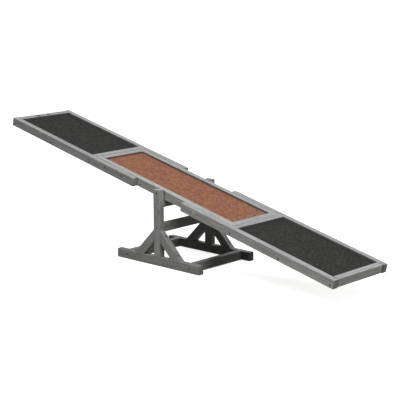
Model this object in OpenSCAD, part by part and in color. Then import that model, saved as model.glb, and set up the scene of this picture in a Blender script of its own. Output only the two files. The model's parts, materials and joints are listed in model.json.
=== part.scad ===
// Dog agility seesaw: a deck in three sections that rocks on a timber stand.
// Millimetres, +Z up. The origin is on the ground, straight under the pivot.
// +X runs along the deck to its low end, the front, and +Y is the left side.

/* [Deck] */
// Length of the deck, measured along its slope
deck_len = 1800; // [1300:10:2300]
// Width of the deck over the outer side rails
deck_w = 318; // [260:1:420]
// Height of the deck's rails
rail_h = 34; // [28:1:45]
// Thickness of the deck's rails, as seen from above
rail_t = 26; // [24:1:34]
// Length of the middle section over its front and rear rails
middle_len = 772; // [640:2:960]
// How far each outer side rail runs back beside the middle section
overlap_len = 251; // [190:1:300]
// How far the end rails sit back from the ends of the side rails
end_recess = 2; // [1:0.5:10]
// Rounding of the outer side rails where they end beside the middle section
rail_end_r = 4; // [2:0.5:8]
// Tilt of the deck at rest, front end down, in degrees
deck_tilt = 13.2; // [0:0.1:17]

/* [Walking surface] */
// Depth of the grip felt below the tops of the rails
felt_recess = 7; // [3:0.5:8]
// Thickness of the grip felt
felt_t = 2; // [1:0.5:3]
// Thickness of the boards under the felt
board_t = 6; // [4:0.5:8]
// How deep the boards reach into the grooves of the rails
groove_depth = 6; // [3:0.5:7]
// Width of the battens under the boards
batten_w = 26; // [18:1:50]

/* [Stand] */
// Height of the pivot above the ground
pivot_h = 290; // [286:1:380]
// Depth of the pivot below the tops of the deck's rails
pivot_drop = 13.5; // [10:0.5:16]
// Length of the foot rails
foot_len = 454; // [400:2:640]
// Thickness of the stand's timbers
stand_t = 25; // [20:1:32]
// Depth of the stand's timbers, the wider side
stand_d = 35; // [28:1:40]
// How far the posts rise above the pivot
post_rise = 15; // [9:0.5:20]
// Distance from the ends of the foot rails to the cross rails
cross_inset = 42; // [20:1:55]
// How far a brace reaches up the post and along the foot rail
brace_reach = 109; // [90:1:120]
// Height of the middle stretcher's centre above the ground
middle_stretcher_h = 151.5; // [130:0.5:175]
// Gap between the underside of the level deck and the top stretcher
top_stretcher_gap = 10; // [7:0.5:20]
// Rounding of the timbers' long edges
edge_r = 1.5; // [1:0.5:3]

/* [Fasteners] */
// Diameter of the wood screws
screw_d = 4; // [3:0.5:5]
// Diameter of the wood screws' heads
screw_head_d = 7.5; // [6:0.5:9]
// Height of the wood screws' heads
screw_head_h = 3; // [2:0.5:4]
// Depth of the screw heads below the face of the wood
screw_sink = 1.5; // [0.5:0.5:3]
// How far the screws bite into the second timber
screw_bite = 26; // [18:1:30]
// Distance of a brace's screws from the timber that they enter
brace_screw_offset = 22.5; // [19:0.5:28]
// How far a brace's screws bite into the post or foot rail
brace_screw_bite = 14; // [8:1:15]
// Diameter of the furniture bolts
bolt_d = 6; // [5:0.5:7]
// Diameter of the furniture bolts' heads
bolt_head_d = 10; // [9:0.5:12]
// Height of the furniture bolts' heads
bolt_head_h = 6; // [4:0.5:7]
// Depth of the bolt heads below the face of the wood
bolt_sink = 1; // [0.5:0.5:3]
// Depth of the bolts between the deck's sections below the tops of the rails
section_bolt_depth = 15; // [13:0.5:20]
// Width across the flats of the bolts' hexagon sockets
socket_w = 5; // [3:0.5:5]
// Distance from an outer side rail's inner end to its first bolt
bolt_inset = 70; // [50:1:85]
// Distance between the two bolts of an overlap
bolt_pitch = 99; // [60:1:110]
// Outer diameter of the threaded inserts
insert_d = 10; // [9:0.5:12]
// Length of the threaded inserts
insert_len = 16; // [12:0.5:17]
// Diameter of the washers at the pivot
washer_d = 18; // [15:0.5:24]
// Space between post and deck, which the washer fills
pivot_space = 1.5; // [1:0.1:3]

/* [Clearances] */
// Gap round the shanks and heads of screws and bolts
fastener_gap = 0.1; // [0.05:0.05:0.3]
// Gap round a pivot bolt's shank, where it turns in the post
pivot_gap = 0.06; // [0.03:0.01:0.1]
// Gap between parts that move past each other
moving_gap = 0.3; // [0.2:0.05:0.5]
// Space left beyond the end of a bolt in its insert
bolt_end_gap = 1; // [0.5:0.5:3]
// Gap at the edges of the boards and the felt
board_gap = 0.3; // [0.1:0.1:0.6]

/* [Hidden] */
$fn = 40;

// Which way the ends and sides point
front = 1;
rear = -1;
left = 1;
right = -1;

// Extra length of every cut that runs out through a face
cut_over = 1;

// Colours
timber_colour = [0.52, 0.54, 0.55];
board_colour = [0.62, 0.52, 0.38];
black_felt_colour = [0.20, 0.20, 0.20];
terracotta_felt_colour = [0.58, 0.38, 0.29];
steel_colour = [0.45, 0.44, 0.42];
yellow_zinc_colour = [0.70, 0.55, 0.25];

// Deck along its length: x runs from the pivot, on either side alike
half_deck = deck_len / 2;
half_middle = middle_len / 2;
outer_rail_start = half_middle - overlap_len;
outer_rail_len = half_deck - outer_rail_start;
end_rail_outer = half_deck - end_recess;
end_rail_inner = end_rail_outer - rail_t;
inner_rail_inner = half_middle + rail_t;
outer_bay_middle = (inner_rail_inner + end_rail_inner) / 2;
middle_bay_end = half_middle - rail_t;
middle_batten_x = middle_bay_end / 3;
bolt_xs = [outer_rail_start + bolt_inset, outer_rail_start + bolt_inset + bolt_pitch];

// Deck across its width: y runs from the centre line
half_deck_w = deck_w / 2;
half_middle_w = half_deck_w - rail_t;
middle_bay_half_w = half_middle_w - rail_t;

// Deck through its height: z runs down from the tops of the rails
felt_bottom = -felt_recess - felt_t;
board_bottom = felt_bottom - board_t;
batten_h = rail_h + board_bottom;
deck_screw_z = (board_bottom - rail_h) / 2;
section_bolt_z = -section_bolt_depth;

// Stand
post_inner_y = half_middle_w + pivot_space;
post_outer_y = post_inner_y + stand_t;
post_y = post_inner_y + stand_t / 2;
post_top = pivot_h + post_rise;
cross_rail_x = foot_len / 2 - cross_inset - stand_t / 2;
top_stretcher_h = pivot_h + pivot_drop - rail_h - top_stretcher_gap - stand_t / 2;

// Fasteners
screw_seat = screw_sink + screw_head_h;
deck_screw_len = rail_t - screw_seat + screw_bite;
stand_screw_len = stand_t - screw_seat + screw_bite;
post_screw_len = stand_d - screw_seat + screw_bite;
brace_screw_seat = brace_screw_offset * 0.6;
brace_screw_len = brace_screw_seat + brace_screw_bite;
bolt_seat = bolt_sink + bolt_head_h;
insert_end_y = half_middle_w - insert_len;
bolt_end_y = insert_end_y + bolt_end_gap;
section_bolt_seat_y = half_deck_w - bolt_seat;
pivot_bolt_seat_y = post_outer_y - bolt_seat;
washer_t = pivot_space - moving_gap;

// Rectangle with rounded corners
module eased_rectangle(width, height) {
    square([width - 2 * edge_r, height], center = true);
    square([width, height - 2 * edge_r], center = true);
    for (x = [-1, 1], y = [-1, 1])
        translate([x * (width / 2 - edge_r), y * (height / 2 - edge_r)]) circle(r = edge_r);
}

// Timbers with eased long edges, centred on the origin, along X, Y or Z
module timber_x(length, size_y, size_z) {
    rotate([90, 0, 90]) linear_extrude(length, center = true) eased_rectangle(size_y, size_z);
}

module timber_y(length, size_x, size_z) {
    rotate([90, 0, 0]) linear_extrude(length, center = true) eased_rectangle(size_x, size_z);
}

module timber_z(length, size_x, size_y) {
    linear_extrude(length, center = true) eased_rectangle(size_x, size_y);
}

// Puts a fastener drawn along -Z at a place on a side face, so that it points to the centre line
module into_side(x, y, z, side) {
    translate([x, side * y, z]) rotate([-side * 90, 0, 0]) children();
}

// Wood screw: the underside of its head is at z = 0 and the shank points down
module wood_screw(length) {
    tip_len = screw_d;
    recess_w = screw_head_d / 5;
    recess_len = screw_head_d * 0.6;
    recess_depth = screw_head_h / 2;
    difference() {
        cylinder(h = screw_head_h, d = screw_head_d);
        for (angle = [0, 90])
            rotate([0, 0, angle]) translate([0, 0, screw_head_h])
                cube([recess_len, recess_w, 2 * recess_depth], center = true);
    }
    translate([0, 0, tip_len - length]) cylinder(h = length - tip_len, d = screw_d);
    translate([0, 0, -length]) cylinder(h = tip_len, d1 = screw_d / 4, d2 = screw_d);
}

// The hole that the screw sits in, out through the face above its head
module screw_hole(length, seat_depth) {
    translate([0, 0, -length - fastener_gap])
        cylinder(h = length + fastener_gap + cut_over, d = screw_d + 2 * fastener_gap);
    cylinder(h = seat_depth + cut_over, d = screw_head_d + 2 * fastener_gap);
}

// Furniture bolt: the underside of its head is at z = 0 and the shank points down
module furniture_bolt(length) {
    socket_d = socket_w / cos(30);
    socket_depth = bolt_head_h / 2;
    difference() {
        cylinder(h = bolt_head_h, d = bolt_head_d);
        translate([0, 0, bolt_head_h - socket_depth])
            cylinder(h = socket_depth + cut_over, d = socket_d, $fn = 6);
    }
    translate([0, 0, -length]) cylinder(h = length, d = bolt_d);
}

// Threaded insert: its mouth is at z = 0 and it points down
module threaded_insert() {
    translate([0, 0, -insert_len]) difference() {
        cylinder(h = insert_len, d = insert_d);
        translate([0, 0, -cut_over])
            cylinder(h = insert_len + 2 * cut_over, d = bolt_d + 2 * fastener_gap);
    }
}

module insert_hole() {
    translate([0, 0, -insert_len])
        cylinder(h = insert_len + cut_over, d = insert_d + 2 * fastener_gap);
}

// Places of the fasteners in the stand

module at_foot_frame_screws(sides) {
    for (x = [-cross_rail_x, cross_rail_x], side = sides)
        into_side(x, post_outer_y - screw_seat, stand_d / 2, side) children();
}

module at_post_foot_screws(sides) {
    for (side = sides)
        translate([0, side * post_y, screw_seat]) rotate([180, 0, 0]) children();
}

module at_stretcher_screws(sides) {
    for (z = [middle_stretcher_h, top_stretcher_h], side = sides)
        into_side(0, post_outer_y - screw_seat, z, side) children();
}

// One screw runs level into the post and one runs straight down into the foot rail
module at_brace_screws(end, side) {
    near_face = stand_d / 2 + brace_screw_seat;
    far_face = stand_d / 2 + brace_reach - brace_screw_offset;
    translate([end * near_face, side * post_y, stand_d + brace_reach - brace_screw_offset])
        rotate([0, end * 90, 0]) children();
    translate([end * far_face, side * post_y, stand_d + brace_screw_seat]) children();
}

module brace_screw_holes(side) {
    for (end = [front, rear])
        at_brace_screws(end, side) screw_hole(brace_screw_len, brace_screw_offset);
}

module at_pivot(side, y) {
    into_side(0, y, pivot_h, side) children();
}

// Stand

module foot_rail(side) {
    color(timber_colour) difference() {
        translate([0, side * post_y, stand_d / 2]) timber_x(foot_len, stand_t, stand_d);
        at_foot_frame_screws([side]) screw_hole(stand_screw_len, screw_seat);
        at_post_foot_screws([side]) screw_hole(post_screw_len, screw_seat);
        brace_screw_holes(side);
    }
}

module cross_rail(end) {
    color(timber_colour) difference() {
        translate([end * cross_rail_x, 0, stand_d / 2]) timber_y(2 * post_inner_y, stand_t, stand_d);
        at_foot_frame_screws([left, right]) screw_hole(stand_screw_len, screw_seat);
    }
}

module post(side) {
    post_len = post_top - stand_d;
    color(timber_colour) difference() {
        translate([0, side * post_y, stand_d + post_len / 2]) timber_z(post_len, stand_d, stand_t);
        at_post_foot_screws([side]) screw_hole(post_screw_len, screw_seat);
        at_stretcher_screws([side]) screw_hole(stand_screw_len, screw_seat);
        brace_screw_holes(side);
        at_pivot(side, pivot_bolt_seat_y - moving_gap) {
            cylinder(h = bolt_seat + moving_gap + cut_over, d = bolt_head_d + 2 * moving_gap);
            translate([0, 0, -stand_t]) cylinder(h = 2 * stand_t, d = bolt_d + 2 * pivot_gap);
        }
    }
}

// The brace is cut off flat where it meets the post and the foot rail
module brace(end, side) {
    outer_edge_len = brace_reach * sqrt(2);
    color(timber_colour) difference() {
        intersection() {
            translate([end * stand_d / 2, side * post_y, stand_d]) {
                translate([end * brace_reach / 2, 0, brace_reach / 2]) rotate([0, end * 45, 0])
                    translate([0, 0, -stand_d / 2]) timber_x(outer_edge_len, stand_t, stand_d);
            }
            translate([end * (stand_d / 2 + brace_reach / 2), side * post_y, stand_d + brace_reach / 2])
                cube([brace_reach, stand_t + 2 * cut_over, brace_reach], center = true);
        }
        at_brace_screws(end, side) screw_hole(brace_screw_len, brace_screw_offset);
    }
}

// The middle stretcher stands on edge, and the top one lies flat to clear the deck
module stretcher(height, size_x, size_z) {
    color(timber_colour) difference() {
        translate([0, 0, height]) timber_y(2 * post_inner_y, size_x, size_z);
        at_stretcher_screws([left, right]) screw_hole(stand_screw_len, screw_seat);
    }
}

module foot_frame_screws() {
    color(steel_colour) at_foot_frame_screws([left, right]) wood_screw(stand_screw_len);
}

module post_foot_screws() {
    color(steel_colour) at_post_foot_screws([left, right]) wood_screw(post_screw_len);
}

module stretcher_screws() {
    color(steel_colour) at_stretcher_screws([left, right]) wood_screw(stand_screw_len);
}

module brace_screws() {
    for (end = [front, rear], side = [left, right])
        color(steel_colour) at_brace_screws(end, side) wood_screw(brace_screw_len);
}

module pivot_washers() {
    for (side = [left, right])
        color(steel_colour) at_pivot(side, post_inner_y) translate([0, 0, -washer_t]) difference() {
            cylinder(h = washer_t, d = washer_d);
            translate([0, 0, -cut_over])
                cylinder(h = washer_t + 2 * cut_over, d = bolt_d + 2 * moving_gap);
        }
}

// Deck, drawn level with the tops of its rails at z = 0 and its pivot at x = 0

module on_deck() {
    translate([0, 0, pivot_h]) rotate([0, deck_tilt, 0]) translate([0, 0, pivot_drop]) children();
}

module at_outer_screws(end, sides) {
    middle_of_end_rail = (end_rail_outer + end_rail_inner) / 2;
    middle_of_inner_rail = half_middle + rail_t / 2;
    for (x = [middle_of_end_rail, outer_bay_middle, middle_of_inner_rail], side = sides)
        into_side(end * x, half_deck_w - screw_seat, deck_screw_z, side) children();
}

module at_middle_screws(sides) {
    middle_of_rail = half_middle - rail_t / 2;
    for (x = [-middle_of_rail, -middle_batten_x, middle_batten_x, middle_of_rail], side = sides)
        into_side(x, half_middle_w - screw_seat, deck_screw_z, side) children();
}

module at_section_bolts(y, ends, sides) {
    for (x = bolt_xs, end = ends, side = sides)
        into_side(end * x, y, section_bolt_z, side) children();
}

module at_deck_pivot(y, side) {
    into_side(0, y, -pivot_drop, side) children();
}

// The space that a board fills in the grooves of the rails round it
module board_space(x_low, x_high, half_width) {
    reach = groove_depth;
    translate([x_low - reach, -half_width - reach, board_bottom])
        cube([x_high - x_low + 2 * reach, 2 * (half_width + reach), board_t + board_gap]);
}

module board(x_low, x_high, half_width) {
    reach = groove_depth - board_gap;
    color(board_colour) translate([x_low - reach, -half_width - reach, board_bottom])
        cube([x_high - x_low + 2 * reach, 2 * (half_width + reach), board_t]);
}

module grip_felt(x_low, x_high, half_width, felt_colour) {
    color(felt_colour) translate([x_low + board_gap, -half_width + board_gap, felt_bottom])
        cube([x_high - x_low - 2 * board_gap, 2 * (half_width - board_gap), felt_t]);
}

module outer_board_space(end) {
    if (end == front) board_space(inner_rail_inner, end_rail_inner, half_middle_w);
    else board_space(-end_rail_inner, -inner_rail_inner, half_middle_w);
}

// What is taken off an upright corner to round it: the corner is at the origin, the wood at +X +Y
module corner_rounding(radius, height) {
    difference() {
        translate([-cut_over, -cut_over, -cut_over])
            cube([radius + cut_over, radius + cut_over, height + 2 * cut_over]);
        translate([radius, radius, -2 * cut_over]) cylinder(h = height + 4 * cut_over, r = radius);
    }
}

module outer_side_rail(end, side) {
    x = end * (outer_rail_start + outer_rail_len / 2);
    y = side * (half_deck_w - rail_t / 2);
    corner_angle = end == front ? (side == right ? 0 : -90) : (side == right ? 90 : 180);
    color(timber_colour) difference() {
        translate([x, y, -rail_h / 2]) timber_x(outer_rail_len, rail_t, rail_h);
        translate([end * outer_rail_start, side * half_deck_w, -rail_h]) rotate([0, 0, corner_angle])
            corner_rounding(rail_end_r, rail_h);
        outer_board_space(end);
        at_outer_screws(end, [side]) screw_hole(deck_screw_len, screw_seat);
        at_section_bolts(section_bolt_seat_y, [end], [side]) {
            cylinder(h = bolt_seat + cut_over, d = bolt_head_d + 2 * fastener_gap);
            translate([0, 0, -rail_t]) cylinder(h = rail_t + cut_over, d = bolt_d + 2 * fastener_gap);
        }
    }
}

// Any rail or batten that runs across an outer section between its side rails
module outer_cross_piece(end, x, width, top, height) {
    color(timber_colour) difference() {
        translate([end * x, 0, top - height / 2]) timber_y(2 * half_middle_w, width, height);
        outer_board_space(end);
        at_outer_screws(end, [left, right]) screw_hole(deck_screw_len, screw_seat);
    }
}

module end_rail(end) {
    outer_cross_piece(end, (end_rail_outer + end_rail_inner) / 2, rail_t, 0, rail_h);
}

module inner_rail(end) {
    outer_cross_piece(end, half_middle + rail_t / 2, rail_t, 0, rail_h);
}

module outer_batten(end) {
    outer_cross_piece(end, outer_bay_middle, batten_w, board_bottom, batten_h);
}

module outer_board(end) {
    if (end == front) board(inner_rail_inner, end_rail_inner, half_middle_w);
    else board(-end_rail_inner, -inner_rail_inner, half_middle_w);
}

module outer_grip_felt(end) {
    if (end == front) grip_felt(inner_rail_inner, end_rail_inner, half_middle_w, black_felt_colour);
    else grip_felt(-end_rail_inner, -inner_rail_inner, half_middle_w, black_felt_colour);
}

module outer_section_screws(end) {
    color(steel_colour) at_outer_screws(end, [left, right]) wood_screw(deck_screw_len);
}

module middle_board_space() {
    board_space(-middle_bay_end, middle_bay_end, middle_bay_half_w);
}

module middle_side_rail(side) {
    y = side * (half_middle_w - rail_t / 2);
    color(timber_colour) difference() {
        translate([0, y, -rail_h / 2]) timber_x(middle_len, rail_t, rail_h);
        middle_board_space();
        at_middle_screws([side]) screw_hole(deck_screw_len, screw_seat);
        at_section_bolts(half_middle_w, [front, rear], [side]) insert_hole();
        at_deck_pivot(half_middle_w, side) insert_hole();
    }
}

// Any rail or batten that runs across the middle section between its side rails
module middle_cross_piece(x, width, top, height) {
    color(timber_colour) difference() {
        translate([x, 0, top - height / 2]) timber_y(2 * middle_bay_half_w, width, height);
        middle_board_space();
        at_middle_screws([left, right]) screw_hole(deck_screw_len, screw_seat);
    }
}

module middle_rail(end) {
    middle_cross_piece(end * (half_middle - rail_t / 2), rail_t, 0, rail_h);
}

module middle_batten(end) {
    middle_cross_piece(end * middle_batten_x, batten_w, board_bottom, batten_h);
}

module middle_board() {
    board(-middle_bay_end, middle_bay_end, middle_bay_half_w);
}

module middle_grip_felt() {
    grip_felt(-middle_bay_end, middle_bay_end, middle_bay_half_w, terracotta_felt_colour);
}

module middle_section_screws() {
    color(steel_colour) at_middle_screws([left, right]) wood_screw(deck_screw_len);
}

module section_bolts() {
    color(yellow_zinc_colour) at_section_bolts(section_bolt_seat_y, [front, rear], [left, right])
        furniture_bolt(section_bolt_seat_y - bolt_end_y);
}

module section_inserts() {
    color(yellow_zinc_colour) at_section_bolts(half_middle_w, [front, rear], [left, right])
        threaded_insert();
}

module pivot_bolts() {
    for (side = [left, right])
        color(yellow_zinc_colour) at_deck_pivot(pivot_bolt_seat_y, side)
            furniture_bolt(pivot_bolt_seat_y - bolt_end_y);
}

module pivot_inserts() {
    for (side = [left, right])
        color(yellow_zinc_colour) at_deck_pivot(half_middle_w, side) threaded_insert();
}

// Stand
foot_rail(left);  // left_foot_rail
foot_rail(right);  // right_foot_rail
cross_rail(front);  // front_cross_rail
cross_rail(rear);  // rear_cross_rail
post(left);  // left_post
post(right);  // right_post
brace(front, left);  // left_front_brace
brace(rear, left);  // left_rear_brace
brace(front, right);  // right_front_brace
brace(rear, right);  // right_rear_brace
stretcher(middle_stretcher_h, stand_t, stand_d);  // middle_stretcher
stretcher(top_stretcher_h, stand_d, stand_t);  // top_stretcher
foot_frame_screws();
post_foot_screws();
stretcher_screws();
brace_screws();
pivot_washers();

// Front section of the deck
on_deck() outer_side_rail(front, left);  // front_left_side_rail
on_deck() outer_side_rail(front, right);  // front_right_side_rail
on_deck() end_rail(front);  // front_end_rail
on_deck() inner_rail(front);  // front_inner_rail
on_deck() outer_batten(front);  // front_batten
on_deck() outer_board(front);  // front_board
on_deck() outer_grip_felt(front);  // front_grip_felt
on_deck() outer_section_screws(front);  // front_section_screws

// Rear section of the deck
on_deck() outer_side_rail(rear, left);  // rear_left_side_rail
on_deck() outer_side_rail(rear, right);  // rear_right_side_rail
on_deck() end_rail(rear);  // rear_end_rail
on_deck() inner_rail(rear);  // rear_inner_rail
on_deck() outer_batten(rear);  // rear_batten
on_deck() outer_board(rear);  // rear_board
on_deck() outer_grip_felt(rear);  // rear_grip_felt
on_deck() outer_section_screws(rear);  // rear_section_screws

// Middle section of the deck
on_deck() middle_side_rail(left);  // middle_left_side_rail
on_deck() middle_side_rail(right);  // middle_right_side_rail
on_deck() middle_rail(front);  // middle_front_rail
on_deck() middle_rail(rear);  // middle_rear_rail
on_deck() middle_batten(front);  // middle_front_batten
on_deck() middle_batten(rear);  // middle_rear_batten
on_deck() middle_board();
on_deck() middle_grip_felt();
on_deck() middle_section_screws();

// Bolts and inserts of the deck
on_deck() section_bolts();
on_deck() section_inserts();
on_deck() pivot_bolts();
on_deck() pivot_inserts();
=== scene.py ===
"""Dog agility seesaw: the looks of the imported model, with its light, floor and camera."""

import json
import math
import random

import bmesh
import bpy
from mathutils import Matrix, Vector, noise

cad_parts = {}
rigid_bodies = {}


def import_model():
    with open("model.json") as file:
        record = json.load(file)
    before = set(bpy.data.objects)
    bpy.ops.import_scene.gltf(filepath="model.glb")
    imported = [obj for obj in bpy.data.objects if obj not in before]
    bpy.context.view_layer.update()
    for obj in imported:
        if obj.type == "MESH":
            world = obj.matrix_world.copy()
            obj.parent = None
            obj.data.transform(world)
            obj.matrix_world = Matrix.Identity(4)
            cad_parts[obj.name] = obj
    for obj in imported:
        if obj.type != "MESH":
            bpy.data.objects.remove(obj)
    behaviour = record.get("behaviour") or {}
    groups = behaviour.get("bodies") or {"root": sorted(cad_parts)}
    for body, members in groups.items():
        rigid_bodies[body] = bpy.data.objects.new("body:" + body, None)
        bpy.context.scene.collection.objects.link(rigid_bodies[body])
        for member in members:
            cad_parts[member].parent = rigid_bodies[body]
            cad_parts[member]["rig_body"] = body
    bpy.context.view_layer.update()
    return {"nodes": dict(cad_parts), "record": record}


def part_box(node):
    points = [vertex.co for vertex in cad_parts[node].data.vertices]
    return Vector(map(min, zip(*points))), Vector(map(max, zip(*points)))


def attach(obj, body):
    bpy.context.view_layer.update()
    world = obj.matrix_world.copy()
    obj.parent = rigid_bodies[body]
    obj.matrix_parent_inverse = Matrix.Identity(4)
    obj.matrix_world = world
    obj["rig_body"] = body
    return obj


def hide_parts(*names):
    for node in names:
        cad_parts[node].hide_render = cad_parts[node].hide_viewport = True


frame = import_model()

MM = 0.001

# Camera, as fitted to the photograph's straight edges
CAMERA_PLACE = Vector((3.578, -3.681, 1.309))
CAMERA_AZIMUTH = math.radians(43.50)
CAMERA_ELEVATION = math.radians(11.77)
CAMERA_ROLL = math.radians(-0.46)
CAMERA_LENS = 117.8
SENSOR_WIDTH = 36.0

# Light and floor, with sizes and places in metres
LAMP_SIZE = 2.0
LAMP_DISTANCE = 4.5
LAMP_AIM = Vector((0, 0, 0.2))
AMBIENT = 0.028
AMBIENT_COLOUR = (1.0, 1.0, 0.84, 1)
FLOOR_SIZE = 80.0
FLOOR_DROP = 0.0005
FLOOR_WHITE = (0.80, 0.80, 0.80)
FLOOR_GLOW = 0.88
GLOW_CHANGE = (0.5, 4.0)
FLOOR_BOUNCE = (0.143, 0.141, 0.108, 1)

# Painted contact shadow: the narrow dark line where the stand's lowest rails lie on the floor, and where it
# is dark and ends
GROUND_RAILS = ("left_foot_rail", "right_foot_rail", "front_cross_rail", "rear_cross_rail")
CONTACT_DARK = 0.5 * MM
CONTACT_END = 4.5 * MM
CONTACT_SHADE = 0.6

# Colours as linear light
TIMBER_PALE = (0.490, 0.492, 0.482)
TIMBER_DARK = (0.250, 0.251, 0.244)
TIMBER_END = (0.150, 0.135, 0.112)
TIMBER_KNOT = (0.055, 0.048, 0.040)
# The colour of painted shade on recess walls, in joints, seams and holes and behind the posts
PAINTED_SHADE = (0.045, 0.043, 0.040)
TIMBER_WORN = (0.540, 0.530, 0.500)
BOARD_PALE = (0.560, 0.420, 0.270)
BOARD_DARK = (0.400, 0.270, 0.150)
BLACK_GRIT = (0.0262, 0.0256, 0.0230)
BLACK_ODD_GRAIN = (0.110, 0.112, 0.115)
TERRACOTTA_GRIT = (0.290, 0.125, 0.070)
TERRACOTTA_ODD_GRAIN = (0.150, 0.135, 0.150)

# Metals: the plating or the paint, and its stains, as linear light
STEEL = ((0.230, 0.220, 0.205), (0.120, 0.110, 0.100))
YELLOW_ZINC = ((0.560, 0.470, 0.230), (0.340, 0.270, 0.130))
RUSTY_ZINC = ((0.480, 0.370, 0.250), (0.260, 0.190, 0.125))
AGED_ZINC = ((0.150, 0.110, 0.062), (0.075, 0.052, 0.030))
WORN_ZINC = ((0.100, 0.088, 0.068), (0.060, 0.052, 0.040))
DARK_ZINC = ((0.036, 0.035, 0.030), (0.018, 0.017, 0.015))
PAINTED_HEAD = ((0.400, 0.402, 0.392), (0.330, 0.331, 0.322))

# Places in mm where a group of screws or bolts changes its shade, and half the width of the change
PAINTED_ABOVE = 200.0
FRONT_FROM = 0.0
RUSTY_FROM = 240.0
METAL_CHANGE = 10.0

# Size of the stains on the metals in mm, and scratches for each mm along the three axes
METAL_PATCH = 3.0
SCRATCHES = (4.0, 0.4, 4.0)
SCRATCH_RELIEF = 0.05 * MM

# The eased edges of the timbers: their width, and the least angle between the faces beside them
EDGE_BEVEL = 0.7 * MM
EDGE_ANGLE = math.radians(50)
WELD_DISTANCE = 0.01 * MM

# Yearly rings in mm: their width, the distance to their middle, and how far they wander
RING_SPACING = (2.4, 4.2)
PITH_DISTANCE = (35.0, 90.0)
WANDER = 26.0

# Where in a ring, from 0 to 1, its late wood fades in, and where it fades out again, end first
LATE_WOOD_IN = (0.35, 0.90)
LATE_WOOD_OUT = (1.0, 0.93)

# The noise of a timber is shifted by the place of its pith, times this
SEED_SHIFT = 13.7

# Figures in the grain of timber and plywood, in mm: length along the grain and width across it
WANDER_SIZE = (260.0, 60.0)
FIBRE_SIZE = (45.0, 1.0)
STREAK_SIZE = (120.0, 3.2)
BLOTCH_SIZE = (80.0, 30.0)
RUB_SIZE = (30.0, 6.0)
PLY_FIGURE_SIZE = (500.0, 70.0)
PLY_FIBRE_SIZE = (40.0, 1.0)

# Height of the grain, and the least and the greatest roughness of the surface
TIMBER_RELIEF = 0.12 * MM
PLY_RELIEF = 0.1 * MM
TIMBER_ROUGHNESS = (0.66, 0.86)
PLY_ROUGHNESS = (0.6, 0.8)

# How much each figure darkens the stain, and how far rubbing has thinned it, over a width in mm
RING_STAIN = 0.32
FIBRE_STAIN = 0.30
STREAK_STAIN = 0.46
BLOTCH_STAIN = 0.24
RUBBED_THIN = 0.45
RUB_WIDTH = 3.2

# End grain: how dark it is, the width in mm of its full dark rim, and how much of that its middle has
PALE_END = 0.25
DARK_END = 0.90
# Hidden butted ends, as dark as end grain, so that their eased rims draw painted shade in the seams
BUTTED_END_AND_SEAM_SHADE = 1.0
END_RIM = 7.0
END_MIDDLE = 0.75

# Painted shade on recess walls, in joints, seams and holes and behind the posts, from 0 for none to 1 for
# full
FELT_SIDE_SHADE = 0.66
REAR_JOINT_SHADE = 0.85
FRONT_JOINT_SHADE = 0.35
END_JOINT_SHADE = 0.85
BUTT_SHADE = 0.9
SEAM_SHADE = 0.9
POST_SHADOW = 0.7
HOLE_SHADE = 0.92
PAINTED_OVER_HOLE_SHADE = 0.25

# Where the painted shade lies, in mm; WHOLE_LENGTH is a start before the timber's middle
OVERLAP_LENGTH = 252.0
END_JOINT_LENGTH = 28.0
WHOLE_LENGTH = -2.0
JOINT_FADE = 2.0
SEAM_WIDTH = 3.0
SEAM_FULL = 0.3
POST_SHADOW_REACH = 21.0
POST_SHADOW_FADE = 4.0
HOLE_START = 1.3
HOLE_FULL = 2.8

# Timbers of the stand whose end grain is darker or paler than PALE_END; left_foot_rail's dark end, under the
# deck, is partly painted shade
STAND_END_SHADES = {"left_foot_rail": 1.0, "right_foot_rail": 0.0}

# The two knots in the top of the rear end rail: place along it in mm, angle about its pith, radius in mm
REAR_END_KNOTS = (Vector((-32.0, 0.0, 10.0)), Vector((23.0, 0.0, 8.0)))
NO_KNOTS = (Vector((0.0, 0.0, 0.0)), Vector((0.0, 0.0, 0.0)))

# How far a knot pushes the rings aside, and how far out it does so, in knot radii
KNOT_PUSH = 1.9
KNOT_SPREAD = 2.5

# Timbers whose pith was chosen for their grain: a seed, and the pith's place across the timber in mm
PITHS = {
    "rear_end_rail": Vector((12.0, -60.0, 0.0)),
    "front_right_side_rail": Vector((-20.0, 45.0, 45.0)),
}

# Timbers drawn lighter or darker than the rest: mostly the stain they took, but left_foot_rail's low tone,
# under the deck, is painted shade
TIMBER_TONES_AND_SHADE = {
    "front_right_side_rail": 1.31,
    "front_left_side_rail": 0.96,
    "front_end_rail": 1.11,
    "middle_right_side_rail": 1.20,
    "rear_right_side_rail": 0.98,
    "rear_end_rail": 0.92,
    "right_post": 1.14,
    "right_foot_rail": 0.91,
    "left_foot_rail": 0.66,
    "left_front_brace": 0.85,
    "left_rear_brace": 0.85,
    "right_front_brace": 1.05,
    "right_rear_brace": 1.07,
    "middle_stretcher": 1.16,
}

# Painted light and shade: upper faces drawn lighter or darker than the rest of their timber, as light falls
# on them
TOP_LIGHT_AND_SHADE = {
    "front_right_side_rail": 0.81,
    "left_foot_rail": 1.62,
    "front_cross_rail": 0.77,
    "right_front_brace": 0.86,
    "left_front_brace": 1.22,
}

# Grit of the felt: granules for each mm, and the size in mm of darker patches and of wide clouds
GRANULES = 0.6
GRIT_PATCH = 10.0
GRIT_CLOUD = 28.0
CLOUD_SHADES = (0.88, 1.12)
GRANULE_RELIEF = 0.35 * MM
GRIT_ROUGHNESS = (0.72, 0.95)

# Shape of the grip felt: mesh step, relief of the grit, and slow waves
GRIT_STEP = 2.5 * MM
GRIT_RELIEF = 0.22 * MM
FELT_WAVE = 0.35 * MM
FELT_WAVE_LENGTH = 90 * MM


slot_of = {row["node"]: row["material_slot"] for row in frame["record"]["subparts"]}


def node_vertices(name):
    return [v.co.copy() for v in frame["nodes"][name].data.vertices]


def box_centre(name):
    low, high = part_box(name)
    return (Vector(low) + Vector(high)) / 2


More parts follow.
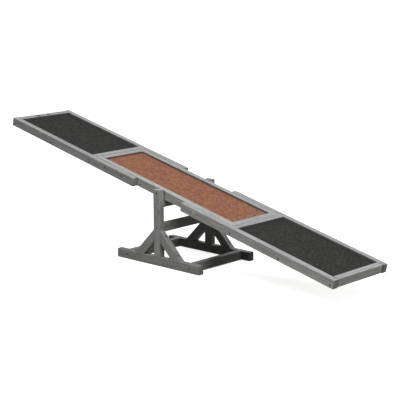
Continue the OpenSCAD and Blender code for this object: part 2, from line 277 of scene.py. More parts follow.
def own_box(name, turn):
    """The centre and half size of a node in axes that are turned from the frame's."""
    places = [turn @ v for v in node_vertices(name)]
    low = Vector([min(p[i] for p in places) for i in range(3)])
    high = Vector([max(p[i] for p in places) for i in range(3)])
    return (low + high) / 2, (high - low) / 2


def deck_turn():
    """The rotation from the frame's axes to those of the tilted deck."""
    along = box_centre("front_board") - box_centre("rear_board")
    tilt = math.atan2(-along.z, along.x)
    return Matrix.Rotation(-tilt, 3, "Y")


DECK_TURN = deck_turn()
BRACE_TURNS = {
    "front": Matrix.Rotation(math.radians(-45), 3, "Y"),
    "rear": Matrix.Rotation(math.radians(45), 3, "Y"),
}

# Turns that lay the longest side of a piece along X
LENGTH_TO_X = (
    Matrix.Identity(3),
    Matrix(((0, 1, 0), (0, 0, 1), (1, 0, 0))),
    Matrix(((0, 0, 1), (1, 0, 0), (0, 1, 0))),
)


def piece_turn(name):
    """The rotation from the frame's axes to the piece's own, with its length along X."""
    if name.endswith("_brace"):
        turn = BRACE_TURNS["front" if "front" in name else "rear"]
    elif frame["nodes"][name]["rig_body"] == "deck":
        turn = DECK_TURN
    else:
        turn = Matrix.Identity(3)
    half = own_box(name, turn)[1]
    longest = max(range(3), key=lambda i: half[i])
    return LENGTH_TO_X[longest] @ turn


# Shader building

def add(tree, kind, inputs=None, **settings):
    """Adds a node; inputs maps its sockets to a value, or to a socket to link."""
    node = tree.nodes.new(kind)
    for key, value in settings.items():
        setattr(node, key, value)
    for key, value in (inputs or {}).items():
        if isinstance(value, bpy.types.NodeSocket):
            tree.links.new(value, node.inputs[key])
        else:
            node.inputs[key].default_value = value
    return node


def calc(tree, operation, a, b=None, c=None):
    """One step of arithmetic; a, b and c are sockets or numbers."""
    inputs = {i: v for i, v in enumerate((a, b, c)) if v is not None}
    return add(tree, "ShaderNodeMath", inputs, operation=operation).outputs[0]


def vector_calc(tree, operation, a, b=None, scale=None):
    """One step of arithmetic on vectors; the result is a number for a dot product or a length."""
    inputs = {0: a}
    if b is not None:
        inputs[1] = b
    if scale is not None:
        inputs["Scale"] = scale
    node = add(tree, "ShaderNodeVectorMath", inputs, operation=operation)
    return node.outputs["Value" if operation in ("DOT_PRODUCT", "LENGTH") else "Vector"]


def noise_value(tree, place, scale, detail=2.0, rough=0.5):
    inputs = {"Vector": place, "Scale": scale, "Detail": detail, "Roughness": rough}
    return add(tree, "ShaderNodeTexNoise", inputs, noise_dimensions="3D").outputs[0]


def stretched(tree, place, size):
    """The place counted in figures of the given length along X and width across it."""
    length, width = size
    return vector_calc(tree, "MULTIPLY", place, (1 / length, 1 / width, 1 / width))


def remap(tree, value, low, high, to_low=0.0, to_high=1.0):
    """A smooth step from to_low where the value is low, to to_high where it is high."""
    inputs = {"Value": value, "From Min": low, "From Max": high, "To Min": to_low, "To Max": to_high}
    return add(tree, "ShaderNodeMapRange", inputs, interpolation_type="SMOOTHSTEP").outputs["Result"]


def blend_colour(tree, factor, a, b):
    """The colour a where the factor is 0 and b where it is 1; each is a socket or three numbers."""
    node = add(tree, "ShaderNodeMix", {0: factor}, data_type="RGBA", blend_type="MIX")
    for index, colour in ((6, a), (7, b)):
        if isinstance(colour, bpy.types.NodeSocket):
            tree.links.new(colour, node.inputs[index])
        else:
            node.inputs[index].default_value = (*colour, 1.0)
    return node.outputs[2]


def new_material(name):
    material = bpy.data.materials.new(name)
    material.use_nodes = True
    material.node_tree.nodes.clear()
    return material, material.node_tree


def finish_material(tree, colour, roughness, normal, metallic=0.0, specular=0.5):
    shader = add(
        tree,
        "ShaderNodeBsdfPrincipled",
        {
            "Base Color": colour,
            "Roughness": roughness,
            "Normal": normal,
            "Metallic": metallic,
            "Specular IOR Level": specular,
        },
    )
    add(tree, "ShaderNodeOutputMaterial", {"Surface": shader.outputs[0]})


def group_socket(group, name, kind, way="INPUT"):
    group.interface.new_socket(name, in_out=way, socket_type=kind)


def parts(tree, vector):
    """The three parts of a vector, as sockets."""
    return add(tree, "ShaderNodeSeparateXYZ", {0: vector}).outputs


def hypotenuse(tree, a, b):
    """The distance to a point that lies a to one side and b up."""
    squares = calc(tree, "ADD", calc(tree, "MULTIPLY", a, a), calc(tree, "MULTIPLY", b, b))
    return calc(tree, "SQRT", squares)


def from_pith(group, inside):
    """The two distances in mm across the timber from its pith, along its own Y and Z."""
    place = parts(group, inside["Place"])
    pith = parts(group, inside["Pith"])
    return calc(group, "SUBTRACT", place[1], pith[1]), calc(group, "SUBTRACT", place[2], pith[2])


def knot_reach(group, inside, knot):
    """Distance from the axis of a knot, which runs out from the pith, in knot radii; and the radius."""
    start, angle, radius = parts(group, knot)
    across, up = from_pith(group, inside)
    side = calc(
        group,
        "SUBTRACT",
        calc(group, "MULTIPLY", across, calc(group, "SINE", angle)),
        calc(group, "MULTIPLY", up, calc(group, "COSINE", angle)),
    )
    ahead = calc(group, "SUBTRACT", parts(group, inside["Place"])[0], start)
    distance = hypotenuse(group, side, ahead)
    return calc(group, "DIVIDE", distance, calc(group, "MAXIMUM", radius, 0.001)), radius


def late_wood_share(group, inside, seeded, knots):
    """1 in the dark late wood of the yearly rings and 0 in the early wood; knots push the rings aside."""
    across, up = from_pith(group, inside)
    wander = noise_value(group, stretched(group, seeded, WANDER_SIZE), 1.0, 2.0)
    ring_radius = calc(group, "MULTIPLY_ADD", wander, WANDER, hypotenuse(group, across, up))
    for reach, radius in knots:
        squared = calc(group, "MULTIPLY", reach, reach)
        push = calc(group, "EXPONENT", calc(group, "MULTIPLY", squared, -1 / KNOT_SPREAD**2))
        swell = calc(group, "MULTIPLY", push, calc(group, "MULTIPLY", radius, KNOT_PUSH))
        ring_radius = calc(group, "ADD", ring_radius, swell)
    phase = calc(group, "FRACT", calc(group, "DIVIDE", ring_radius, inside["Ring spacing"]))
    fade_in = remap(group, phase, *LATE_WOOD_IN)
    return calc(group, "MULTIPLY", fade_in, remap(group, phase, *LATE_WOOD_OUT))


def stained_wood(group, inside, seeded, late_wood, fibres):
    """The grey stain in the timber's tone: darker in late wood, fibres, streaks and blotches, with painted
    light and shade on the upper faces.
    """
    streaks = noise_value(group, stretched(group, seeded, STREAK_SIZE), 1.0, 3.0, 0.55)
    blotches = noise_value(group, stretched(group, seeded, BLOTCH_SIZE), 1.0, 3.0, 0.6)
    depth = calc(group, "MULTIPLY", late_wood, RING_STAIN)
    depth = calc(group, "MULTIPLY_ADD", remap(group, fibres, 0.3, 0.75), FIBRE_STAIN, depth)
    depth = calc(group, "MULTIPLY_ADD", remap(group, streaks, 0.34, 0.66), STREAK_STAIN, depth)
    depth = calc(group, "MULTIPLY_ADD", remap(group, blotches, 0.3, 0.7), BLOTCH_STAIN, depth)
    colour = blend_colour(group, depth, TIMBER_PALE, TIMBER_DARK)
    # Painted light and shade on the upper faces
    towards_up = vector_calc(group, "DOT_PRODUCT", inside["Facing"], inside["Up"])
    top_light_and_shade = remap(group, towards_up, 0.4, 0.65, 1.0, inside["Top light and shade"])
    tone = calc(group, "MULTIPLY", inside["Tone"], top_light_and_shade)
    return add(group, "ShaderNodeHueSaturation", {"Value": tone, "Color": colour}).outputs[0]


def depths(group, inside):
    """Depth in mm below the ends, depth below the nearest face, and distance from the nearest edge."""
    from_middle = vector_calc(group, "ABSOLUTE", inside["Place"])
    insets = parts(group, vector_calc(group, "SUBTRACT", inside["Half size"], from_middle))
    total = calc(group, "ADD", calc(group, "ADD", insets[0], insets[1]), insets[2])
    least = calc(group, "MINIMUM", calc(group, "MINIMUM", insets[0], insets[1]), insets[2])
    most = calc(group, "MAXIMUM", calc(group, "MAXIMUM", insets[0], insets[1]), insets[2])
    from_edge = calc(group, "SUBTRACT", calc(group, "SUBTRACT", total, least), most)
    return insets[0], least, from_edge


def rub_edges(group, colour, seeded, from_edge):
    """Sharp edges, where handling has rubbed the stain thin."""
    rub = noise_value(group, stretched(group, seeded, RUB_SIZE), 1.0, 3.0, 0.6)
    near_edge = remap(group, from_edge, RUB_WIDTH, 0.6)
    rub_and_shadow = calc(group, "MULTIPLY", near_edge, remap(group, rub, 0.42, 0.72))
    return blend_colour(group, calc(group, "MULTIPLY", rub_and_shadow, RUBBED_THIN), colour, TIMBER_WORN)


def darken_ends(group, colour, inside, late_wood, from_edge):
    """End grain drinks more stain, most of all at its rim."""
    facing = parts(group, inside["Facing"])[0]
    low_end = calc(group, "MULTIPLY", remap(group, facing, -0.55, -0.9), inside["Low end shade"])
    high_end = calc(group, "MULTIPLY", remap(group, facing, 0.55, 0.9), inside["High end shade"])
    end_colour = blend_colour(group, calc(group, "MULTIPLY", late_wood, 0.5), TIMBER_END, TIMBER_KNOT)
    rim_shade = remap(group, from_edge, END_RIM, 1.0, END_MIDDLE, 1.0)
    shade = calc(group, "MULTIPLY", calc(group, "ADD", low_end, high_end), rim_shade)
    return blend_colour(group, shade, colour, end_colour)


def shade_felt_side(group, colour, inside):
    """Painted shade on the side that faces the felt, down in the recess."""
    towards_felt = vector_calc(group, "DOT_PRODUCT", inside["Facing"], inside["Felt side"])
    painted_shade = calc(group, "MULTIPLY", remap(group, towards_felt, 0.3, 0.8), FELT_SIDE_SHADE)
    return blend_colour(group, painted_shade, colour, PAINTED_SHADE)


def shade_joint(group, colour, inside, joint_side):
    """Painted shade in the joint with the next rail, and in a narrow seam beside it."""
    along = parts(group, inside["Place"])[0]
    start = remap(group, along, -1.0, 1.0, inside["Low joint start"], inside["High joint start"])
    full = calc(group, "ADD", start, JOINT_FADE)
    in_joint = remap(group, calc(group, "ABSOLUTE", along), start, full)
    strength = remap(group, along, -1.0, 1.0, inside["Low joint shade"], inside["High joint shade"])
    reach = vector_calc(group, "MULTIPLY", inside["Joint side"], inside["Half size"])
    plane = vector_calc(group, "DOT_PRODUCT", vector_calc(group, "ABSOLUTE", reach), (1.0, 1.0, 1.0))
    place = vector_calc(group, "DOT_PRODUCT", inside["Joint side"], inside["Place"])
    depth = calc(group, "SUBTRACT", plane, place)
    seam = calc(group, "MULTIPLY", remap(group, depth, SEAM_WIDTH, SEAM_FULL), SEAM_SHADE)
    painted_shade = calc(group, "MULTIPLY", calc(group, "MAXIMUM", joint_side, seam), strength)
    return blend_colour(group, calc(group, "MULTIPLY", painted_shade, in_joint), colour, PAINTED_SHADE)


def shade_butt(group, colour, inside, from_end):
    """Painted shade in the seam where the timber's ends butt against another."""
    painted_shade = calc(group, "MULTIPLY", remap(group, from_end, SEAM_WIDTH, SEAM_FULL), inside["Butt shade"])
    return blend_colour(group, painted_shade, colour, PAINTED_SHADE)


def paint_post_shadow(group, colour, inside, joint_side):
    """Painted shadow of the posts on the deck's sides at the pivot."""
    from_middle = calc(group, "ABSOLUTE", parts(group, inside["Place"])[0])
    by_post = remap(group, from_middle, POST_SHADOW_REACH + POST_SHADOW_FADE, POST_SHADOW_REACH)
    rub_and_shadow = calc(group, "MULTIPLY", calc(group, "MULTIPLY", by_post, joint_side), inside["Post shadow"])
    return blend_colour(group, rub_and_shadow, colour, PAINTED_SHADE)


def shade_holes(group, colour, inside, depth):
    """Painted shade on the walls of the drilled holes, deeper below every outer face; past "Painted from"
    the holes are painted over and take less of it.
    """
    painted = calc(group, "GREATER_THAN", parts(group, inside["Place"])[0], inside["Painted from"])
    wall_shade = remap(group, painted, 0.0, 1.0, HOLE_SHADE, PAINTED_OVER_HOLE_SHADE)
    painted_shade = calc(group, "MULTIPLY", remap(group, depth, HOLE_START, HOLE_FULL), wall_shade)
    return blend_colour(group, painted_shade, colour, PAINTED_SHADE)


def draw_knot(group, colour, height, reach):
    """A darker spot with rings of its own and a sunken rim."""
    spot = remap(group, reach, 1.15, 0.75)
    rim = calc(group, "MULTIPLY", remap(group, reach, 0.75, 1.0), remap(group, reach, 1.45, 1.05))
    rings = calc(group, "FRACT", calc(group, "MULTIPLY", reach, 3.0))
    knot_colour = blend_colour(group, calc(group, "MULTIPLY", rings, 0.4), TIMBER_KNOT, TIMBER_END)
    colour = blend_colour(group, calc(group, "MULTIPLY", spot, 0.9), colour, knot_colour)
    colour = blend_colour(group, calc(group, "MULTIPLY", rim, 0.6), colour, TIMBER_KNOT)
    return colour, calc(group, "MULTIPLY_ADD", rim, -0.8, height)


# Inputs of the timber group
TIMBER_VECTORS = (
    "Place",
    "Facing",
    "Up",
    "Half size",
    "Pith",
    "Knot 1",
    "Knot 2",
    "Felt side",
    "Joint side",
)
TIMBER_VALUES = (
    "Ring spacing",
    "Tone",
    "Top light and shade",
    "Low end shade",
    "High end shade",
    "Low joint start",
    "High joint start",
    "Low joint shade",
    "High joint shade",
    "Butt shade",
    "Post shadow",
    "Painted from",
)


def timber_group():
    """Softwood under a grey stain, in the timber's own axes in mm, with its grain along X."""
    group = bpy.data.node_groups.new("stained timber", "ShaderNodeTree")
    for name in TIMBER_VECTORS:
        group_socket(group, name, "NodeSocketVector")
    for name in TIMBER_VALUES:
        group_socket(group, name, "NodeSocketFloat")
    group_socket(group, "Colour", "NodeSocketColor", "OUTPUT")
    group_socket(group, "Roughness", "NodeSocketFloat", "OUTPUT")
    group_socket(group, "Normal", "NodeSocketVector", "OUTPUT")
    inside = add(group, "NodeGroupInput").outputs

    # The pith's place shifts every noise, so no two timbers are alike
    seed_shift = vector_calc(group, "SCALE", inside["Pith"], scale=SEED_SHIFT)
    seeded = vector_calc(group, "ADD", inside["Place"], seed_shift)

    knots = [knot_reach(group, inside, inside[socket]) for socket in ("Knot 1", "Knot 2")]
    late_wood = late_wood_share(group, inside, seeded, knots)
    fibres = noise_value(group, stretched(group, seeded, FIBRE_SIZE), 0.9, 3.0, 0.6)
    from_end, depth, from_edge = depths(group, inside)
    towards_joint = vector_calc(group, "DOT_PRODUCT", inside["Facing"], inside["Joint side"])
    joint_side = remap(group, towards_joint, 0.05, 0.35)

    colour = stained_wood(group, inside, seeded, late_wood, fibres)
    colour = rub_edges(group, colour, seeded, from_edge)
    colour = darken_ends(group, colour, inside, late_wood, from_edge)
    # Painted shade on the felt side, in the joints, seams and holes, and behind the posts
    colour = shade_felt_side(group, colour, inside)
    colour = shade_joint(group, colour, inside, joint_side)
    colour = shade_butt(group, colour, inside, from_end)
    colour = paint_post_shadow(group, colour, inside, joint_side)
    colour = shade_holes(group, colour, inside, depth)

    height = calc(group, "MULTIPLY", late_wood, 0.5)
    height = calc(group, "MULTIPLY_ADD", fibres, 0.6, height)
    for reach, _ in knots:
        colour, height = draw_knot(group, colour, height, reach)
    roughness = remap(group, fibres, 0.2, 0.8, *TIMBER_ROUGHNESS)
    bump = add(group, "ShaderNodeBump", {"Strength": 0.55, "Distance": TIMBER_RELIEF, "Height": height})
    add(
        group,
        "NodeGroupOutput",
        {"Colour": colour, "Roughness": roughness, "Normal": bump.outputs[0]},
    )
    return group


TIMBER_GROUP = timber_group()


def own_place(tree, turn, centre):
    """The place on the surface in the piece's own axes, in mm from its centre; and the node it is from."""
    coordinates = add(tree, "ShaderNodeTexCoord")
    mapped = add(
        tree,
        "ShaderNodeMapping",
        {
            "Vector": coordinates.outputs["Object"],
            "Rotation": turn.to_euler("XYZ"),
            "Location": -centre,
        },
        vector_type="POINT",
    )
    return vector_calc(tree, "SCALE", mapped.outputs[0], scale=1 / MM), coordinates


ALONG_DECK = DECK_TURN.transposed() @ Vector((1, 0, 0))
ACROSS = Vector((0, 1, 0))
UP = Vector((0, 0, 1))
NO_SIDE = Vector((0, 0, 0))


def felt_side(name):
    """The direction in the frame's axes from a rail of the deck to the felt beside it."""
    sides = {
        "front_end_rail": -ALONG_DECK,
        "rear_end_rail": ALONG_DECK,
        "front_inner_rail": ALONG_DECK,
        "rear_inner_rail": -ALONG_DECK,
        "middle_front_rail": -ALONG_DECK,
        "middle_rear_rail": ALONG_DECK,
    }
    if name.endswith("left_side_rail"):
        return -ACROSS
    if name.endswith("right_side_rail"):
        return ACROSS
    return sides.get(name, NO_SIDE)


def joint_side(name):
    """The direction from a rail of the deck to the rail that it lies against."""
    sides = {
        "front_inner_rail": -ALONG_DECK,
        "rear_inner_rail": ALONG_DECK,
        "middle_front_rail": ALONG_DECK,
        "middle_rear_rail": -ALONG_DECK,
        "middle_left_side_rail": ACROSS,
        "middle_right_side_rail": -ACROSS,
    }
    if name.endswith("side_rail") and not name.startswith("middle"):
        return felt_side(name)
    return sides.get(name, NO_SIDE)


def joint_ends(name, half_length):
    """Where the joint starts, from the rail's middle, and its painted shade, at the low and at the high end.
    """
    if joint_side(name) == NO_SIDE:
        return (WHOLE_LENGTH, 0.0), (WHOLE_LENGTH, 0.0)
    if not name.endswith("side_rail"):
        painted_shade = FRONT_JOINT_SHADE if "front" in name else REAR_JOINT_SHADE
        return (WHOLE_LENGTH, painted_shade), (WHOLE_LENGTH, painted_shade)
    overlap_start = half_length - OVERLAP_LENGTH
    at_end_rail = (half_length - END_JOINT_LENGTH, END_JOINT_SHADE)
    if name.startswith("front"):
        return (overlap_start, FRONT_JOINT_SHADE), at_end_rail
    if name.startswith("rear"):
        return at_end_rail, (overlap_start, REAR_JOINT_SHADE)
    return (overlap_start, REAR_JOINT_SHADE), (overlap_start, FRONT_JOINT_SHADE)


def end_shades(name, turn):
    """How dark the end grain is at the low and the high end of the piece's own X axis."""
    # The deck's cross rails butt against the side rails: their dark ends draw painted shade in the seams
    if frame["nodes"][name]["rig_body"] == "deck" and "side_rail" not in name:
        return BUTTED_END_AND_SEAM_SHADE, BUTTED_END_AND_SEAM_SHADE
    if name.startswith("middle") or "side_rail" not in name:
        shade = STAND_END_SHADES.get(name, PALE_END)
        return shade, shade
    outward = Vector((1, 0, 0)) if name.startswith("front") else Vector((-1, 0, 0))
    if (turn @ outward).x > 0:
        return PALE_END, DARK_END
    return DARK_END, PALE_END


def timber_material(name, order):
    """A material of its own for each timber, so that its grain runs along it."""
    picker = random.Random(100 + order)
    turn = piece_turn(name)
    centre, half = own_box(name, turn)
    half = half / MM
    distance = picker.uniform(*PITH_DISTANCE)
    angle = picker.uniform(0, 2 * math.pi)
    pith = Vector((picker.uniform(-40, 40), distance * math.cos(angle), distance * math.sin(angle)))
    ring_spacing = picker.uniform(*RING_SPACING)
    tone = picker.uniform(0.96, 1.04)
    knots = REAR_END_KNOTS if name == "rear_end_rail" else NO_KNOTS
    low_shade, high_shade = end_shades(name, turn)
    (low_start, low_joint_shade), (high_start, high_joint_shade) = joint_ends(name, half.x)
    beside_post = name in ("middle_left_side_rail", "middle_right_side_rail")
    material, tree = new_material("timber_" + name)
    place, coordinates = own_place(tree, turn, centre)
    facing = add(
        tree,
        "ShaderNodeMapping",
        {"Vector": coordinates.outputs["Normal"], "Rotation": turn.to_euler("XYZ")},
        vector_type="POINT",
    ).outputs[0]
    timber = add(
        tree,
        "ShaderNodeGroup",
        {
            "Place": place,
            "Facing": facing,
            "Up": turn @ UP,
            "Half size": half,
            "Pith": PITHS.get(name, pith),
            "Knot 1": knots[0],
            "Knot 2": knots[1],
            "Felt side": turn @ felt_side(name),
            "Joint side": turn @ joint_side(name),
            "Ring spacing": ring_spacing,
            # The timber's tone, which on left_foot_rail is partly painted shade
            "Tone": TIMBER_TONES_AND_SHADE.get(name, tone),
            # Painted light and shade on the upper faces
            "Top light and shade": TOP_LIGHT_AND_SHADE.get(name, 1.0),
            "Low end shade": low_shade,
            "High end shade": high_shade,
            "Low joint start": low_start,
            "High joint start": high_start,
            # Painted shade in the joints with the next rail
            "Low joint shade": low_joint_shade,
            "High joint shade": high_joint_shade,
            # Painted shade in the seams at the ends of the front end rail
            "Butt shade": BUTT_SHADE if name == "front_end_rail" else 0.0,
            # Painted shadow of the posts on the middle side rails
            "Post shadow": POST_SHADOW if beside_post else 0.0,
            "Painted from": PAINTED_ABOVE - centre.x / MM if name.endswith("_post") else half.x,
        },
        node_tree=TIMBER_GROUP,
    )
    finish_material(
        tree,
        timber.outputs["Colour"],
        timber.outputs["Roughness"],
        timber.outputs["Normal"],
        specular=0.28,
    )
    return material


def plywood_material():
    """The bare face veneer of the boards, seen from below."""
    material, tree = new_material("plywood")
    place, _ = own_place(tree, DECK_TURN, Vector((0, 0, 0)))
    slow = noise_value(tree, stretched(tree, place, PLY_FIGURE_SIZE), 1.0, 3.0)
    bands = calc(tree, "FRACT", calc(tree, "MULTIPLY", slow, 14.0))
    figure = calc(tree, "MULTIPLY", remap(tree, bands, 0.2, 0.85), remap(tree, bands, 1.0, 0.9))
    fibres = noise_value(tree, stretched(tree, place, PLY_FIBRE_SIZE), 1.0, 3.0, 0.6)
    depth = calc(tree, "MULTIPLY_ADD", figure, 0.45, calc(tree, "MULTIPLY", fibres, 0.4))
    colour = blend_colour(tree, depth, BOARD_PALE, BOARD_DARK)
    roughness = remap(tree, fibres, 0.2, 0.8, *PLY_ROUGHNESS)
    bump = add(tree, "ShaderNodeBump", {"Strength": 0.4, "Distance": PLY_RELIEF, "Height": fibres})
    finish_material(tree, colour, roughness, bump.outputs[0], specular=0.3)
    return material


def grit_material(name, base, odd, uneven, odd_share):
    """Mineral granules rolled into felt: each granule has a shade of its own, and a few are odd ones."""
    material, tree = new_material(name)
    place, _ = own_place(tree, DECK_TURN, Vector((0, 0, 0)))
    granules = add(tree, "ShaderNodeTexVoronoi", {"Vector": place, "Scale": GRANULES, "Randomness": 1.0})
    shade = add(tree, "ShaderNodeSeparateColor", {0: granules.outputs["Color"]}).outputs
    patches = noise_value(tree, place, 1 / GRIT_PATCH, 2.0, 0.6)
    clouds = noise_value(tree, place, 1 / GRIT_CLOUD, 2.0, 0.55)
    light = calc(tree, "MULTIPLY_ADD", shade[0], 0.6, 0.7)
    light = calc(tree, "MULTIPLY", light, remap(tree, patches, 0.25, 0.75, 1 - uneven, 1 + uneven))
    light = calc(tree, "MULTIPLY", light, remap(tree, clouds, 0.3, 0.7, *CLOUD_SHADES))
    lit = add(tree, "ShaderNodeHueSaturation", {"Value": light, "Color": (*base, 1.0)}).outputs[0]
    odd_one = remap(tree, shade[1], 1.0 - odd_share, 1.0 - odd_share * 0.9)
    colour = blend_colour(tree, calc(tree, "MULTIPLY", odd_one, 0.8), lit, odd)
    dome = calc(tree, "SUBTRACT", 1.0, granules.outputs["Distance"])
    height = calc(tree, "MULTIPLY_ADD", patches, 1.2, dome)
    bump = add(tree, "ShaderNodeBump", {"Strength": 0.7, "Distance": GRANULE_RELIEF, "Height": height})
    roughness = remap(tree, shade[2], 0.0, 1.0, *GRIT_ROUGHNESS)
    finish_material(tree, colour, roughness, bump.outputs[0], specular=0.08)
    return material


def metal_material(name, shades, roughness, axis=0, bands=(), last_metallic=1.0):
    """Plated metal, slightly patchy.

    Past each band's place in mm along an axis it has that band's shades, and past the last place it is
    as metallic as last_metallic says.
    """
    material, tree = new_material(name)
    place, _ = own_place(tree, Matrix.Identity(3), Vector((0, 0, 0)))
    patches = noise_value(tree, place, 1 / METAL_PATCH, 4.0, 0.6)
    scratches = noise_value(tree, vector_calc(tree, "MULTIPLY", place, SCRATCHES), 1.0, 2.0)
    stained = remap(tree, patches, 0.35, 0.7)
    colour = blend_colour(tree, stained, *shades)
    metallic = 1.0
    along = parts(tree, place)[axis]
    for start, band_shades in bands:
        past = remap(tree, along, start - METAL_CHANGE, start + METAL_CHANGE)
        colour = blend_colour(tree, past, colour, blend_colour(tree, stained, *band_shades))
    if last_metallic < 1.0:
        metallic = remap(tree, past, 0.0, 1.0, 1.0, last_metallic)
    rough = remap(tree, patches, 0.2, 0.8, roughness - 0.1, roughness + 0.15)
    bump = add(tree, "ShaderNodeBump", {"Strength": 0.3, "Distance": SCRATCH_RELIEF, "Height": scratches})
    finish_material(tree, colour, rough, bump.outputs[0], metallic=metallic)
    return material


def dress(name, material):
    """Gives a CAD node one material on every face."""
    piece = frame["nodes"][name]
    piece.data.materials.clear()
    piece.data.materials.append(material)


def soften(name):
    """Eases the sawn ends and the rims of the holes of a timber."""
    piece = frame["nodes"][name]
    weld = piece.modifiers.new("weld", "WELD")
    weld.merge_threshold = WELD_DISTANCE
    bevel = piece.modifiers.new("ease", "BEVEL")
    bevel.width = EDGE_BEVEL
    bevel.segments = 2
    bevel.limit_method = "ANGLE"
    bevel.angle_limit = EDGE_ANGLE
    bevel.use_clamp_overlap = True
    bevel.harden_normals = True


def felt_piece(node, name, material):
    """A sheet of grip felt: its top has the granules' relief and lies in slow waves."""
    turn = DECK_TURN
    centre, half = own_box(node, turn)
    columns = round(2 * half.x / GRIT_STEP)
    rows = round(2 * half.y / GRIT_STEP)
    shape = bmesh.new()
    back = turn.transposed()
    top = []
    for column in range(columns + 1):
        line = []
        for row in range(rows + 1):
            x = centre.x - half.x + 2 * half.x * column / columns
            y = centre.y - half.y + 2 * half.y * row / rows
            grit = noise.noise(Vector((x, y, 0)) / (1.3 * GRIT_STEP))
            wave = noise.noise(Vector((x, y, 1)) / FELT_WAVE_LENGTH)
            drop = GRIT_RELIEF * (1 - grit) + FELT_WAVE * (1 - wave)
            line.append(shape.verts.new(back @ Vector((x, y, centre.z + half.z - drop))))
        top.append(line)
    for column in range(columns):
        for row in range(rows):
            here, beyond = top[column], top[column + 1]
            corners = (here[row], beyond[row], beyond[row + 1], here[row + 1])
            shape.faces.new(corners).smooth = True
    rim = [top[c][0] for c in range(columns + 1)]
    rim += [top[columns][r] for r in range(1, rows + 1)]
    rim += [top[c][rows] for c in range(columns - 1, -1, -1)]
    rim += [top[0][r] for r in range(rows - 1, 0, -1)]
    below = []
    for vertex in rim:
        place = turn @ vertex.co
        below.append(shape.verts.new(back @ Vector((place.x, place.y, centre.z - half.z))))
    for i, vertex in enumerate(rim):
        j = (i + 1) % len(rim)
        shape.faces.new((below[i], below[j], rim[j], vertex))
    shape.faces.new(list(reversed(below)))
    mesh = bpy.data.meshes.new(name)
    shape.to_mesh(mesh)
    shape.free()
    mesh.materials.append(material)
    piece = bpy.data.objects.new(name, mesh)
    bpy.context.scene.collection.objects.link(piece)
    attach(piece, "deck")
    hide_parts(node)
    return piece


def make_camera():
    data = bpy.data.cameras.new("camera")
    data.sensor_width = SENSOR_WIDTH
    data.lens = CAMERA_LENS
    camera = bpy.data.objects.new("camera", data)
    turn = Matrix.Rotation(CAMERA_AZIMUTH, 4, "Z")
    turn = turn @ Matrix.Rotation(math.pi / 2 - CAMERA_ELEVATION, 4, "X")
    turn = turn @ Matrix.Rotation(CAMERA_ROLL, 4, "Z")
    camera.matrix_world = Matrix.Translation(CAMERA_PLACE) @ turn
    bpy.context.scene.collection.objects.link(camera)
    bpy.context.scene.camera = camera


def seen_ray(tree):
    """1 for rays that show the background: from the camera, in gloss and through glass."""
    path = add(tree, "ShaderNodeLightPath").outputs
    seen = calc(tree, "MAXIMUM", path["Is Camera Ray"], path["Is Glossy Ray"])
    return calc(tree, "MAXIMUM", seen, path["Is Transmission Ray"])


def make_world():
    world = bpy.data.worlds.new("studio")
    bpy.context.scene.world = world
    world.use_nodes = True
    tree = world.node_tree
    tree.nodes.clear()
    ambient = add(tree, "ShaderNodeBackground", {"Color": AMBIENT_COLOUR, "Strength": AMBIENT})
    white = add(tree, "ShaderNodeBackground", {"Color": (1, 1, 1, 1), "Strength": 1.0})
    mixed = add(tree, "ShaderNodeMixShader", {0: seen_ray(tree), 1: ambient.outputs[0], 2: white.outputs[0]})
    add(tree, "ShaderNodeOutputWorld", {"Surface": mixed.outputs[0]})


def contact_shade(tree, place):
    """The painted contact shadow: how dark the floor is in the narrow line where the stand's lowest rails
    lie on it.
    """
    nearest = 1.0
    for name in GROUND_RAILS:
        low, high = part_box(name)
        half = (Vector(high) - Vector(low)) / 2
        from_rail = vector_calc(tree, "SUBTRACT", place, box_centre(name))
        from_rail = vector_calc(tree, "SUBTRACT", vector_calc(tree, "ABSOLUTE", from_rail), half)
        from_rail = vector_calc(tree, "MAXIMUM", from_rail, (0, 0, 0))
        nearest = calc(tree, "MINIMUM", nearest, vector_calc(tree, "LENGTH", from_rail))
    return calc(tree, "MULTIPLY", remap(tree, nearest, CONTACT_END, CONTACT_DARK), CONTACT_SHADE)


def make_floor():
    """A white floor that keeps the object's shadow and throws little light back up."""
    bpy.ops.mesh.primitive_plane_add(size=FLOOR_SIZE, location=(0, 0, -FLOOR_DROP))
    floor = bpy.context.object
    floor.name = "floor"
    material, tree = new_material("floor")
    place = add(tree, "ShaderNodeTexCoord").outputs["Object"]
    from_middle = vector_calc(tree, "LENGTH", place)
    glow = remap(tree, from_middle, *GLOW_CHANGE, FLOOR_GLOW, 1.0)
    contact = contact_shade(tree, place)
    glow = calc(tree, "MULTIPLY", glow, calc(tree, "SUBTRACT", 1.0, contact))
    matt_colour = blend_colour(tree, contact, FLOOR_WHITE, (0.0, 0.0, 0.0))
    matt = add(tree, "ShaderNodeBsdfDiffuse", {"Color": matt_colour})
    lit = add(tree, "ShaderNodeEmission", {"Color": (1, 1, 1, 1), "Strength": glow})
    bright = add(tree, "ShaderNodeAddShader", {0: matt.outputs[0], 1: lit.outputs[0]})
    dull = add(tree, "ShaderNodeBsdfDiffuse", {"Color": FLOOR_BOUNCE})
    mixed = add(tree, "ShaderNodeMixShader", {0: seen_ray(tree), 1: dull.outputs[0], 2: bright.outputs[0]})
    add(tree, "ShaderNodeOutputMaterial", {"Surface": mixed.outputs[0]})
    floor.data.materials.append(material)


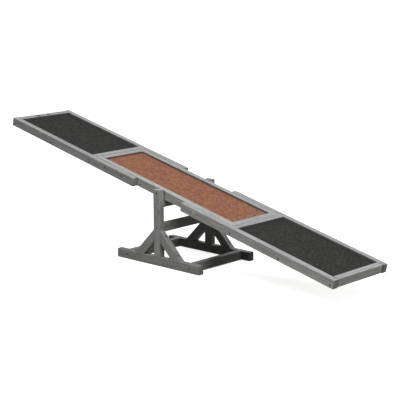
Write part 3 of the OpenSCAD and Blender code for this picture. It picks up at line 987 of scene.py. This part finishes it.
def make_lamp(name, azimuth, elevation, power, colour):
    """A round softbox that hangs round the object and faces it; azimuth is counted from +X to +Y."""
    data = bpy.data.lights.new(name, "AREA")
    data.shape = "DISK"
    data.size = LAMP_SIZE
    data.energy = power
    data.color = colour
    lamp = bpy.data.objects.new(name, data)
    turn = math.radians(azimuth)
    rise = math.radians(elevation)
    direction = Vector((math.cos(rise) * math.cos(turn), math.cos(rise) * math.sin(turn), math.sin(rise)))
    lamp.location = LAMP_AIM + LAMP_DISTANCE * direction
    lamp.rotation_euler = (-direction).to_track_quat("-Z", "Y").to_euler()
    bpy.context.scene.collection.objects.link(lamp)


def make_light():
    make_world()
    make_lamp("key_lamp", azimuth=315, elevation=55, power=81, colour=(0.985, 1.0, 1.02))
    make_lamp("near_lamp", azimuth=270, elevation=55, power=51, colour=(1.02, 1.0, 0.98))
    make_lamp("far_lamp", azimuth=90, elevation=55, power=92, colour=(0.95, 1.0, 1.08))
    make_lamp("low_front_lamp", azimuth=0, elevation=15, power=34, colour=(1.01, 1.0, 0.98))


bpy.context.scene.view_settings.view_transform = "Standard"
make_camera()
make_light()
make_floor()

timbers = [name for name in frame["nodes"] if slot_of[name] == "timber"]
for order, name in enumerate(sorted(timbers)):
    soften(name)
    dress(name, timber_material(name, order))

plywood = plywood_material()
steel = metal_material("zinc_plate", STEEL, roughness=0.42)
yellow = metal_material(
    "yellow_zinc",
    AGED_ZINC,
    roughness=0.45,
    axis=0,
    bands=((FRONT_FROM, YELLOW_ZINC), (RUSTY_FROM, RUSTY_ZINC)),
)
worn = metal_material("worn_zinc", WORN_ZINC, roughness=0.50)
dark = metal_material("dark_zinc", DARK_ZINC, roughness=0.50)
painted = metal_material(
    "painted_heads",
    DARK_ZINC,
    roughness=0.60,
    axis=2,
    bands=((PAINTED_ABOVE, PAINTED_HEAD),),
    last_metallic=0.0,
)
for name in frame["nodes"]:
    if slot_of[name] == "board":
        dress(name, plywood)
    elif name == "stretcher_screws":
        dress(name, painted)
    elif name.endswith("screws"):
        dress(name, dark)
    elif slot_of[name] == "steel":
        dress(name, steel)
    elif name == "pivot_bolts":
        dress(name, worn)
    elif slot_of[name] == "yellow_zinc":
        dress(name, yellow)

black_grit = grit_material("black_grit", BLACK_GRIT, BLACK_ODD_GRAIN, uneven=0.40, odd_share=0.05)
terracotta_grit = grit_material(
    "terracotta_grit",
    TERRACOTTA_GRIT,
    TERRACOTTA_ODD_GRAIN,
    uneven=0.26,
    odd_share=0.04,
)
felt_piece("rear_grip_felt", "rear_felt", black_grit)
felt_piece("front_grip_felt", "front_felt", black_grit)
felt_piece("middle_grip_felt", "middle_felt", terracotta_grit)
